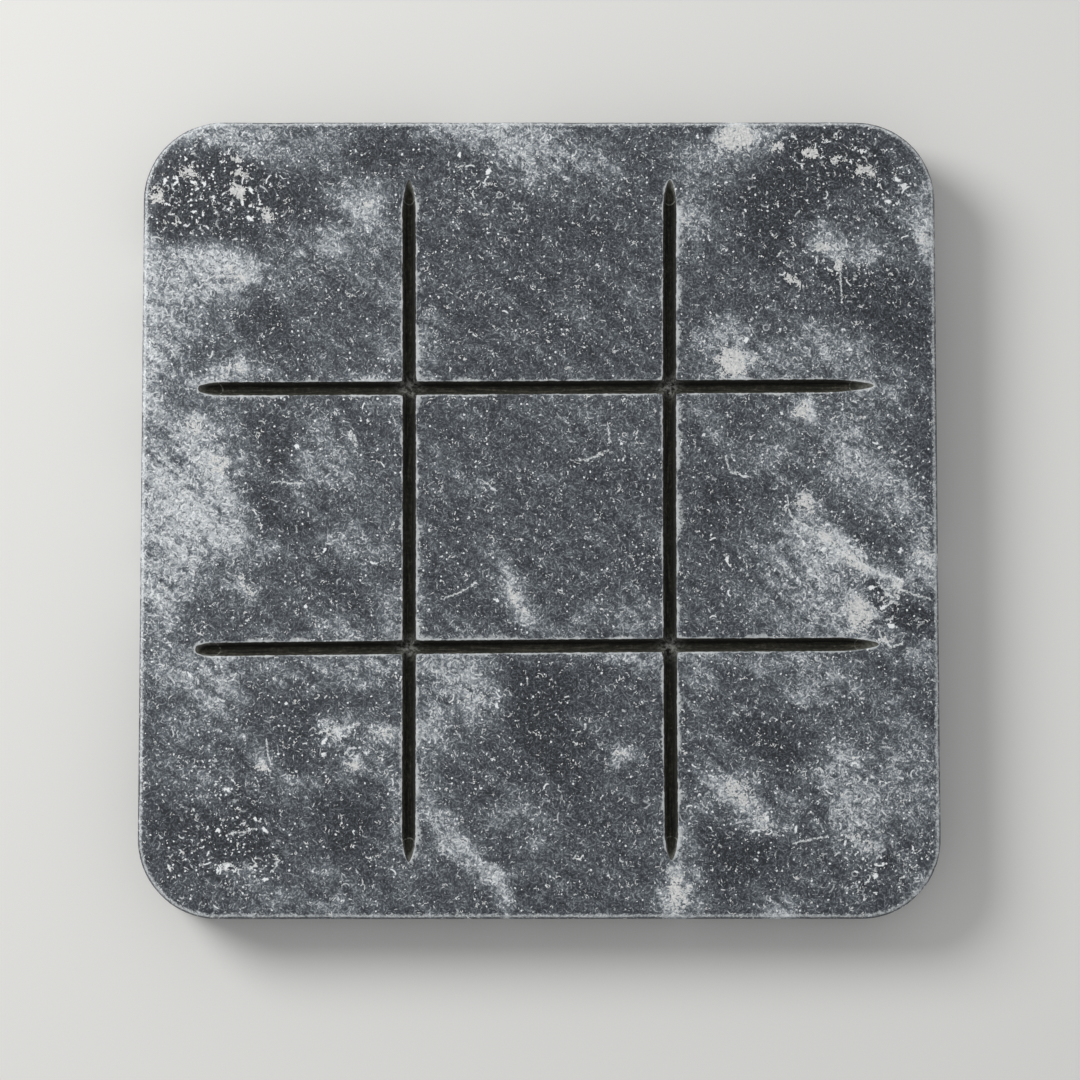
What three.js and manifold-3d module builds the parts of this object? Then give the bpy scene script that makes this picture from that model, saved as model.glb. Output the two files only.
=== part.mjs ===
// Tic-tac-toe board: one tumbled marble slab with a grid of cut grooves, on four rubber feet.
// Millimetres, +Z up. The board lies flat, with its grid face up.
// The origin is on the table, under the middle of the board.
import * as THREE from 'three';
import { mergeVertices } from 'three/addons/utils/BufferGeometryUtils.js';
import Module from 'manifold-3d';

const wasm = await Module();
wasm.setup();

// Slab
const boardWidth = 250; // along X
const boardDepth = 251; // along Y
const slabThickness = 20;
const cornerRadius = 25;
const edgeRound = 1.5; // tumbled edge, top and bottom
const cornerSteps = 8;
const edgeSteps = 4;

// Grid: two grooves each way, ground by a wheel with a round nose and sloping flanks
const gridPitch = 82; // between the two grooves of a pair
const grooveDepth = 3.2;
const noseRadius = 1.1;
const flankAngle = THREE.MathUtils.degToRad(20); // from upright
const rimWear = 0.4; // chamfer worn along both edges of a groove
const rimFade = 0.3; // depth at which the worn rim ends, short of each tip
const rimLap = 0.05; // how far the rim's cutter reaches into the open groove
const wheelLift = 0.6; // how far the wheel stands clear of the face past each tip
const noseSteps = 4;
const runOutSteps = 12;

// Each groove: its side of the middle, the bare stone past each tip, and the length over which its floor
// climbs to that tip. They differ from end to end, because the wheel is led by hand.
const grooves = [
  { along: 'y', side: -1, startInset: 18.4, startRunOut: 8.5, endInset: 19.8, endRunOut: 9 },
  { along: 'y', side: 1, startInset: 19, startRunOut: 9, endInset: 18.2, endRunOut: 8.5 },
  { along: 'x', side: 1, startInset: 19.7, startRunOut: 6, endInset: 20.9, endRunOut: 25 },
  { along: 'x', side: -1, startInset: 18.2, startRunOut: 8, endInset: 18.6, endRunOut: 19 },
];

// Feet: round stick-on rubber, tapering to a flat sole
const footRadius = 6.35; // against the stone
const footHeight = 3.2;
const footTaper = THREE.MathUtils.degToRad(12); // from upright
const soleRound = 0.8;
const footInset = 30; // from each board edge to the middle of a foot
const footSides = 32;
const soleSteps = 2;

const slabBottom = footHeight;
const slabTop = slabBottom + slabThickness;

function marble() {
  return new THREE.MeshStandardMaterial({ color: 0x4b5057, roughness: 0.55, metalness: 0 });
}

function rubber() {
  return new THREE.MeshStandardMaterial({ color: 0x1b1b1c, roughness: 0.85, metalness: 0 });
}

function toSolid(geometry) {
  const bare = geometry.clone();
  bare.deleteAttribute('normal');
  bare.deleteAttribute('uv');
  const merged = mergeVertices(bare);
  return new wasm.Manifold(new wasm.Mesh({
    numProp: 3,
    vertProperties: new Float32Array(merged.attributes.position.array),
    triVerts: new Uint32Array(merged.index.array),
  }));
}

function toGeometry(solid) {
  const mesh = solid.getMesh();
  const geometry = new THREE.BufferGeometry();
  geometry.setAttribute('position', new THREE.BufferAttribute(mesh.vertProperties, 3));
  geometry.setIndex(new THREE.BufferAttribute(mesh.triVerts, 1));
  geometry.computeVertexNormals();
  return geometry;
}

// Skin over a row of sections with equal counts of points, closed by a fan at each end.
// The sections are convex and run anticlockwise, seen from the last one.
function loft(sections) {
  const count = sections[0].length;
  const first = sections[0];
  const last = sections[sections.length - 1];
  const corners = [];
  for (let row = 0; row + 1 < sections.length; row += 1) {
    for (let i = 0; i < count; i += 1) {
      const j = (i + 1) % count;
      const [a, b] = [sections[row][i], sections[row][j]];
      const [d, c] = [sections[row + 1][i], sections[row + 1][j]];
      corners.push(a, b, c, a, c, d);
    }
  }
  for (let i = 1; i + 1 < count; i += 1) {
    corners.push(first[0], first[i + 1], first[i]);
    corners.push(last[0], last[i], last[i + 1]);
  }
  return new THREE.BufferGeometry().setFromPoints(corners);
}

// Rounded rectangle about the origin
function roundedOutline(width, depth, radius) {
  const x = width / 2 - radius;
  const y = depth / 2 - radius;
  const quarter = Math.PI / 2;
  const outline = new THREE.Shape();
  outline.absarc(x, y, radius, 0, quarter);
  outline.absarc(-x, y, radius, quarter, 2 * quarter);
  outline.absarc(-x, -y, radius, 2 * quarter, 3 * quarter);
  outline.absarc(x, -y, radius, 3 * quarter, 4 * quarter);
  outline.closePath();
  return outline;
}

// The slab before its grid is cut. The bevel swells a smaller outline to full size, which rounds every edge.
function slabBlank() {
  const trim = 2 * edgeRound;
  const outline = roundedOutline(boardWidth - trim, boardDepth - trim, cornerRadius - edgeRound);
  const blank = new THREE.ExtrudeGeometry(outline, {
    depth: slabThickness - trim,
    curveSegments: cornerSteps,
    bevelSize: edgeRound,
    bevelThickness: edgeRound,
    bevelSegments: edgeSteps,
  });
  return blank.translate(0, 0, slabBottom + edgeRound);
}

// Half the width of the wheel's rim at a height above its lowest point
function wheelHalfWidth(height) {
  const noseTop = noseRadius * (1 - Math.sin(flankAngle));
  if (height < noseTop) {
    return Math.sqrt(Math.max(0, height * (2 * noseRadius - height)));
  }
  return noseRadius * Math.cos(flankAngle) + (height - noseTop) * Math.tan(flankAngle);
}

// Section of the wheel's rim, standing on the origin: its nose, then its flanks up past the deepest cut
function wheelSection() {
  const top = grooveDepth + wheelLift;
  const section = new THREE.Shape();
  section.absarc(0, noseRadius, noseRadius, Math.PI + flankAngle, 2 * Math.PI - flankAngle);
  section.lineTo(wheelHalfWidth(top), top);
  section.lineTo(-wheelHalfWidth(top), top);
  return section.getPoints(noseSteps);
}

// Section that wears a chamfer on both edges of a groove, with the slab's face at height 0
function rimSection(depth) {
  const wear = Math.min(rimWear, (depth - rimFade) / 2);
  const inner = Math.max(rimLap, wheelHalfWidth(depth - Math.max(0, wear)) - rimLap);
  const outer = inner + wear + wheelLift;
  return [
    new THREE.Vector2(-inner, -wear),
    new THREE.Vector2(inner, -wear),
    new THREE.Vector2(outer, wheelLift),
    new THREE.Vector2(-outer, wheelLift),
  ];
}

// Stations where the floor of a groove climbs along the wheel's own arc, from full depth through the tip
// and on until the wheel is clear of the face. Way is the direction of travel along the groove.
function runOutStations(tip, runOut, way) {
  const wheelRadius = (runOut ** 2 + grooveDepth ** 2) / (2 * grooveDepth);
  const clear = Math.acos(1 - (grooveDepth + wheelLift) / wheelRadius);
  return Array.from({ length: runOutSteps + 1 }, (_, step) => {
    const angle = clear * step / runOutSteps;
    return {
      at: tip + way * (wheelRadius * Math.sin(angle) - runOut),
      depth: grooveDepth - wheelRadius * (1 - Math.cos(angle)),
    };
  });
}

// The two cutters of a groove: the wheel's path and the worn rim along it
function grooveCutters({ along, side, startInset, startRunOut, endInset, endRunOut }) {
  const across = side * gridPitch / 2;
  const half = (along === 'x' ? boardWidth : boardDepth) / 2;
  const stations = [
    ...runOutStations(startInset - half, startRunOut, -1).reverse(),
    ...runOutStations(half - endInset, endRunOut, 1),
  ];
  const place = (at, height) => (point) => (along === 'x'
    ? new THREE.Vector3(at, across + point.x, height + point.y)
    : new THREE.Vector3(across - point.x, at, height + point.y));
  const wheel = wheelSection();
  return [
    loft(stations.map(({ at, depth }) => wheel.map(place(at, slabTop - depth)))),
    loft(stations.map(({ at, depth }) => rimSection(depth).map(place(at, slabTop)))),
  ];
}

function boardSlab() {
  const cutters = grooves.flatMap(grooveCutters).map(toSolid);
  const solid = cutters.reduce((slab, cutter) => slab.subtract(cutter), toSolid(slabBlank()));
  const slab = new THREE.Mesh(toGeometry(solid), marble());
  slab.name = 'board_slab';
  return slab;
}

// Half section of a foot, from the middle of its sole out and up to the stone.
// The sole's rounded edge runs into the tapering side without a corner.
function footProfile() {
  const sideAtRound = footRadius - (footHeight - soleRound) * Math.tan(footTaper);
  const roundCentre = sideAtRound - soleRound / Math.cos(footTaper);
  const profile = new THREE.Path();
  profile.moveTo(0, 0);
  profile.lineTo(roundCentre, 0);
  profile.absarc(roundCentre, soleRound, soleRound, -Math.PI / 2, -footTaper);
  profile.lineTo(footRadius, footHeight);
  profile.lineTo(0, footHeight);
  return profile.getPoints(soleSteps);
}

function rubberFoot(name, xSide, ySide) {
  const shape = new THREE.LatheGeometry(footProfile(), footSides).rotateX(Math.PI / 2);
  const foot = new THREE.Mesh(shape, rubber());
  foot.name = name;
  foot.position.set(xSide * (boardWidth / 2 - footInset), ySide * (boardDepth / 2 - footInset), 0);
  return foot;
}

const board = new THREE.Group();
board.add(boardSlab());
board.add(rubberFoot('rubber_foot_front_left', -1, -1));
board.add(rubberFoot('rubber_foot_front_right', 1, -1));
board.add(rubberFoot('rubber_foot_back_left', -1, 1));
board.add(rubberFoot('rubber_foot_back_right', 1, 1));

export default board;
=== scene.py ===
import math

import bmesh
import bpy
import numpy as np
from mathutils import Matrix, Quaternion, Vector, noise


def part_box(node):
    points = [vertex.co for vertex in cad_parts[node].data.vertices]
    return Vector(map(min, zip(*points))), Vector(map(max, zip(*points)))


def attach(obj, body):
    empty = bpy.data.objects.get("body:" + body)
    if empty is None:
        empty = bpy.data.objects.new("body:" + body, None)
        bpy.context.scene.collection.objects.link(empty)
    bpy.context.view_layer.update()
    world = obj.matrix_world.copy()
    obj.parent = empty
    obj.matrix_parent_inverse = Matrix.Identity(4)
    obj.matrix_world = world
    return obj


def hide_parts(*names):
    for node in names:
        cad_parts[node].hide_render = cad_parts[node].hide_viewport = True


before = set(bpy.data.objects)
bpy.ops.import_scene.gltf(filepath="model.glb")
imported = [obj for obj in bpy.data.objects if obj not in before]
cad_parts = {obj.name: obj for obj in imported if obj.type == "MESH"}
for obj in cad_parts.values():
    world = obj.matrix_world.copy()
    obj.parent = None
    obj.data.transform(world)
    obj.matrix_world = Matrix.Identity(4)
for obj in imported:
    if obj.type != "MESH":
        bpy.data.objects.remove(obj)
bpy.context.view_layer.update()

mm = 0.001
scene = bpy.context.scene
scene.view_settings.view_transform = "Standard"

slabLow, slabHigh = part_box("board_slab")
slabMiddle = (slabLow + slabHigh) / 2
faceHeight = slabHigh.z  # the playing face
boardHalf = {"x": slabHigh.x / mm, "y": slabHigh.y / mm}


# Small helpers for working by hand in edit mode

def deselectAll():
    if bpy.context.object and bpy.context.object.mode != "OBJECT":
        bpy.ops.object.mode_set(mode="OBJECT")
    bpy.ops.object.select_all(action="DESELECT")


def activate(piece):
    deselectAll()
    piece.select_set(True)
    bpy.context.view_layer.objects.active = piece


def pick(piece, kind, wanted):  # kind is edges or faces
    bpy.ops.mesh.select_all(action="DESELECT")
    mesh = bmesh.from_edit_mesh(piece.data)
    mesh.normal_update()
    for element in getattr(mesh, kind):
        if wanted(element):
            element.select_set(True)
    bmesh.update_edit_mesh(piece.data)


def placesOf(piece):  # its points in mm, a row each
    places = np.empty(len(piece.data.vertices) * 3)
    piece.data.vertices.foreach_get("co", places)
    return places.reshape(-1, 3) / mm


def fade(low, high, value):  # smooth step from 0 at low to 1 at high
    t = np.clip((value - low) / (high - low), 0, 1)
    return t * t * (3 - 2 * t)


# Slab: sawn blank, corners and edges tumbled round

slabSize = {
    "cornerRadius": 25 * mm,
    "cornerSegments": 20,
    "edgeRound": 1.5 * mm,
    "edgeSegments": 5,
    "faceStep": 1.5 * mm,  # spacing of the mesh over the face
    "sideStep": 2.4 * mm,
    "underStep": 5 * mm,
    "nicks": (2.6 * mm, 0.3 * mm),  # size and depth of the wear along the edges
    "hollows": (14 * mm, 0.25 * mm),
    "wearIn": (0.8, 2.6),  # mm over which the wear fades, in from the outline and away from the edge
    "wearDown": (0.6, 3.0),
}


def makeBlank():
    deselectAll()
    bpy.ops.mesh.primitive_cube_add(size=1, location=slabMiddle)
    blank = bpy.context.object
    blank.name = blank.data.name = "marble_slab"
    blank.scale = slabHigh - slabLow
    bpy.ops.object.transform_apply(location=True, rotation=False, scale=True)
    bpy.ops.object.mode_set(mode="EDIT")
    bpy.ops.mesh.select_mode(type="EDGE")
    pick(blank, "edges", lambda e: abs(e.verts[0].co.z - e.verts[1].co.z) > 1 * mm)
    bpy.ops.mesh.bevel(offset=slabSize["cornerRadius"], segments=slabSize["cornerSegments"], affect="EDGES")
    pick(blank, "edges", lambda e: abs(e.verts[0].co.z - e.verts[1].co.z) < 1e-6)
    bpy.ops.mesh.bevel(offset=slabSize["edgeRound"], segments=slabSize["edgeSegments"], affect="EDGES")
    bpy.ops.object.mode_set(mode="OBJECT")
    return blank


# Grooves, in mm: a wheel with a round nose, led by hand along each line and lifted out at both ends

grooveSize = {
    "pitch": 82,
    "depth": 3.2,
    "noseRadius": 1.17,
    "flank": math.radians(20),  # from upright
    "noseSteps": 8,
    "rimWear": 0.3,
    "rimLap": 0.05,  # how far the rim's cutter reaches into the open groove
    "clear": 0.7,  # how far the cutters stand out of the face
    "step": 0.7,  # spacing of the mesh along a groove, and where it runs out
    "endStep": 0.35,
    "flareReach": 2.4,  # length over which a crossing is wider
}

# how each cutter shakes: sideways in mm, in its width, and the share by which it widens at a crossing
wheelCut = {"wander": 0.07, "shake": 0.035, "flare": 0.05, "past": 0.5}
rimCut = {"wander": 0.11, "shake": 0.07, "flare": 0.2, "past": 0}

# Pairs give the start and the end of a groove: the bare stone past its tip, the length over which its floor
# climbs, and how sharp the tip is. Stray is how far it leaves its straight line at start, middle and end.
grooves = [
    {"along": "y", "side": -1, "bare": (17.5, 18.6), "run": (8, 9), "sharp": (0.42, 0.42),
     "ledge": 0.06, "stray": (0.42, 0.33, -0.1)},
    {"along": "y", "side": 1, "bare": (18, 18.7), "run": (8, 8), "sharp": (0.42, 0.36),
     "ledge": 0.06, "stray": (0.08, -0.16, 0.27)},
    {"along": "x", "side": 1, "bare": (17.8, 19.8), "run": (7, 17), "sharp": (0, 0.26),
     "ledge": 0, "stray": (-0.75, -0.36, 0.25)},
    {"along": "x", "side": -1, "bare": (17.6, 18.8), "run": (5.5, 13.5), "sharp": (-0.1, 0.26),
     "ledge": 0, "stray": (-0.77, 0.27, 0.85)},
]


def grooveEnds(groove):
    half = boardHalf[groove["along"]]
    startBare, endBare = groove["bare"]
    return startBare - half, half - endBare


def lineOf(groove, at):  # sideways place of the groove's middle at places along it
    start, end = grooveEnds(groove)
    first, middle, last = groove["stray"]
    t = (2 * at - start - end) / (end - start)
    stray = middle + t * (last - first) / 2 + t * t * ((first + last) / 2 - middle)
    return groove["side"] * grooveSize["pitch"] / 2 + stray


def wheelAt(groove, at):  # how deep the wheel is at places along the groove, and its size, 1 in full
    start, end = grooveEnds(groove)
    fromStart = (at - start) / groove["run"][0]
    fromEnd = (end - at) / groove["run"][1]
    climbed = np.minimum(np.minimum(fromStart, fromEnd), 1)
    sunk = (1 - (1 - climbed) ** 2) * (1 - groove["ledge"] * (1 - fade(0.93, 1, climbed)))
    sharp = np.where(fromStart < fromEnd, *groove["sharp"])
    return grooveSize["depth"] * sunk, np.maximum(sunk, 0.02) ** sharp


def wheelHalfWidth(height):  # of the whole wheel, at heights above its lowest point
    nose, flank = grooveSize["noseRadius"], grooveSize["flank"]
    noseTop = nose * (1 - math.sin(flank))
    onNose = np.sqrt(np.maximum(0, height * (2 * nose - height)))
    onFlank = nose * math.cos(flank) + (height - noseTop) * math.tan(flank)
    return np.where(height < noseTop, onNose, onFlank)


fullHalf = float(wheelHalfWidth(grooveSize["depth"]))  # half the width of a mouth
rimHalf = fullHalf + grooveSize["rimWear"]  # with its worn edge


def mouthShare(groove, at):  # width of the mouth at places along the groove, 1 at full depth
    depth, size = wheelAt(groove, at)
    return size * wheelHalfWidth(np.maximum(depth, 0) / size) / fullHalf


def stationsOf(groove, past):  # places along a groove, closer together where it runs out
    start, end = grooveEnds(groove)
    first, last = start + groove["run"][0], end - groove["run"][1]
    step, endStep = grooveSize["step"], grooveSize["endStep"]
    spans = ((start - past, first, endStep), (first, last, step), (last, end + past, endStep))
    rows = []
    for low, high, gap in spans:
        rows.append(np.linspace(low, high, math.ceil((high - low) / gap), endpoint=False))
    return np.append(np.concatenate(rows), end + past)


def wheelOutline():
    nose, flank, depth = grooveSize["noseRadius"], grooveSize["flank"], grooveSize["depth"]
    steps = grooveSize["noseSteps"]
    turns = [math.pi + flank + (math.pi - 2 * flank) * i / steps for i in range(steps + 1)]
    outline = [(nose * math.cos(t), nose * math.sin(t) + nose - depth) for t in turns]
    top = float(wheelHalfWidth(depth + grooveSize["clear"]))
    return outline + [(top, grooveSize["clear"]), (-top, grooveSize["clear"])]


def rimOutline():  # worn edge, a shallow trough wider than the mouth
    wear, clear = grooveSize["rimWear"], grooveSize["clear"]
    inner = float(wheelHalfWidth(grooveSize["depth"] - wear)) - grooveSize["rimLap"]
    reach = [(inner, -wear), (inner + 0.5 * wear, -0.42 * wear), (rimHalf, 0), (rimHalf + clear, clear)]
    return [(-x, y) for x, y in reversed(reach)] + reach


def drawCurve(name, points, closed=False):  # points are a place in mm and a radius
    curve = bpy.data.curves.new(name, "CURVE")
    curve.dimensions = "3D"
    spline = curve.splines.new("POLY")
    spline.points.add(len(points) - 1)
    for point, (place, radius) in zip(spline.points, points):
        point.co = (*(Vector(place) * mm), 1)
        point.radius = radius
    spline.use_cyclic_u = closed
    drawn = bpy.data.objects.new(name, curve)
    scene.collection.objects.link(drawn)
    return drawn


def liftSections(cutter, axis, stations, lifts):  # raises each upright section as the wheel climbs out
    places = placesOf(cutter)
    places[:, 2] += np.interp(places[:, axis], stations, lifts)
    cutter.data.vertices.foreach_set("co", (places * mm).ravel())


def sweepCutter(groove, cut, outline, seed):
    path, lifts = [], []
    stations = stationsOf(groove, cut["past"])
    height = faceHeight / mm
    for at in stations:
        waver = noise.noise(Vector((at / 9, seed, 0))) + 0.7 * noise.noise(Vector((at / 1.6, seed, 5)))
        swell = noise.noise(Vector((at / 2.2, seed, 11))) + 0.8 * noise.noise(Vector((at / 0.9, seed, 17)))
        toCrossing = (abs(at) - grooveSize["pitch"] / 2) / grooveSize["flareReach"]
        grow = 1 + cut["shake"] * swell + cut["flare"] * math.exp(-toCrossing ** 2)
        if cut is wheelCut:
            depth, size = wheelAt(groove, at)
            radius = size * grow
            lifts.append(grooveSize["depth"] * radius - depth)
        else:
            radius = max(mouthShare(groove, at), 0.03) * grow
            lifts.append(0)
        across = lineOf(groove, at) + cut["wander"] * waver
        path.append(((at, across, height) if groove["along"] == "x" else (across, at, height), radius))
    profile = drawCurve("section", [((x, y, 0), 1) for x, y in outline], closed=True)
    cutter = drawCurve("cutter", path)
    cutter.data.twist_mode = "Z_UP"
    cutter.data.bevel_mode = "OBJECT"
    cutter.data.bevel_object = profile
    cutter.data.use_fill_caps = True
    activate(cutter)
    bpy.ops.object.convert(target="MESH")
    bpy.data.objects.remove(profile)
    liftSections(cutter, "xy".index(groove["along"]), stations, lifts)
    bpy.ops.object.mode_set(mode="EDIT")
    bpy.ops.mesh.select_all(action="SELECT")
    bpy.ops.mesh.remove_doubles(threshold=1e-6)
    bpy.ops.mesh.normals_make_consistent(inside=False)
    bpy.ops.object.mode_set(mode="OBJECT")
    return cutter


def cutAway(piece, cutter):
    activate(piece)
    cut = piece.modifiers.new("cut", "BOOLEAN")
    cut.object = cutter
    cut.operation = "DIFFERENCE"
    cut.solver = "EXACT"
    bpy.ops.object.modifier_apply(modifier=cut.name)
    bpy.data.objects.remove(cutter)


def cutGrooves(slab):
    for seed, groove in enumerate(grooves):
        cutAway(slab, sweepCutter(groove, wheelCut, wheelOutline(), seed))
    for seed, groove in enumerate(grooves, 30):
        cutAway(slab, sweepCutter(groove, rimCut, rimOutline(), seed))


def sliceVisible(axis, step):  # even cuts across all that isn't hidden
    low, high = slabLow[axis], slabHigh[axis]
    count = round((high - low) / step)
    for i in range(1, count):
        point, normal = Vector((0, 0, 0)), Vector((0, 0, 0))
        point[axis] = low + (high - low) * i / count
        normal[axis] = 1
        bpy.ops.mesh.select_all(action="SELECT")
        bpy.ops.mesh.bisect(plane_co=point, plane_no=normal)


def gridSlab(slab):  # an even mesh over the face, sides and underside, to hold the wear and the clouds
    inset = slabSize["edgeRound"] + 3 * mm

    def inGroove(face):
        middle = face.calc_center_median()
        inside = abs(middle.x) < slabHigh.x - inset and abs(middle.y) < slabHigh.y - inset
        return inside and slabLow.z + 1 * mm < middle.z < faceHeight - 1e-6

    def isUnder(face):
        return face.normal.z < -0.99

    activate(slab)
    bpy.ops.object.mode_set(mode="EDIT")
    bpy.ops.mesh.select_mode(type="FACE")
    pick(slab, "faces", lambda face: inGroove(face) or isUnder(face))
    bpy.ops.mesh.hide(unselected=False)
    sliceVisible(0, slabSize["faceStep"])
    sliceVisible(1, slabSize["faceStep"])
    sliceVisible(2, slabSize["sideStep"])
    bpy.ops.mesh.reveal(select=False)
    pick(slab, "faces", lambda face: not isUnder(face))
    bpy.ops.mesh.hide(unselected=False)
    sliceVisible(0, slabSize["underStep"])
    sliceVisible(1, slabSize["underStep"])
    bpy.ops.mesh.reveal(select=False)
    bpy.ops.mesh.select_all(action="SELECT")
    bpy.ops.mesh.remove_doubles(threshold=2e-6)
    bpy.ops.mesh.normals_make_consistent(inside=False)
    bpy.ops.object.mode_set(mode="OBJECT")


def outlineDistance(x, y):  # mm in from the slab's outline
    radius = slabSize["cornerRadius"] / mm
    overX = np.maximum(np.abs(x) - (boardHalf["x"] - radius), 0)
    overY = np.maximum(np.abs(y) - (boardHalf["y"] - radius), 0)
    inSide = np.minimum(boardHalf["x"] - np.abs(x), boardHalf["y"] - np.abs(y))
    return np.where((overX > 0) & (overY > 0), radius - np.hypot(overX, overY), inSide)


def wearEdges(slab):  # nicks and soft hollows along the tumbled edges
    x, y, z = placesOf(slab).T
    fromRim = np.minimum(faceHeight / mm - z, z - slabLow.z / mm)
    fadedIn = fade(*slabSize["wearIn"], outlineDistance(x, y))
    shares = (1 - fadedIn) * (1 - fade(*slabSize["wearDown"], fromRim))
    edge = slab.vertex_groups.new(name="edge")
    for i in np.flatnonzero(shares > 0):
        edge.add([int(i)], float(shares[i]), "REPLACE")
    activate(slab)
    for name in ("hollows", "nicks"):
        size, depth = slabSize[name]
        texture = bpy.data.textures.new(name, "CLOUDS")
        texture.noise_scale = size
        wear = slab.modifiers.new(name, "DISPLACE")
        wear.texture = texture
        wear.texture_coords = "LOCAL"
        wear.vertex_group = "edge"
        wear.mid_level = 1.0  # only ever inwards
        wear.strength = depth
        bpy.ops.object.modifier_apply(modifier=wear.name)
    slab.vertex_groups.clear()


slab = makeBlank()
cutGrooves(slab)
print("slab cut:", len(slab.data.vertices), "points")
gridSlab(slab)
wearEdges(slab)
print("slab meshed and worn:", len(slab.data.vertices), "points")
activate(slab)
bpy.ops.object.shade_smooth_by_angle(angle=math.radians(40))
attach(slab, "root")
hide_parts("board_slab")


# Clouds in the stone, in mm on the face: x, y, half length, half width, turn in degrees, strength

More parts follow.
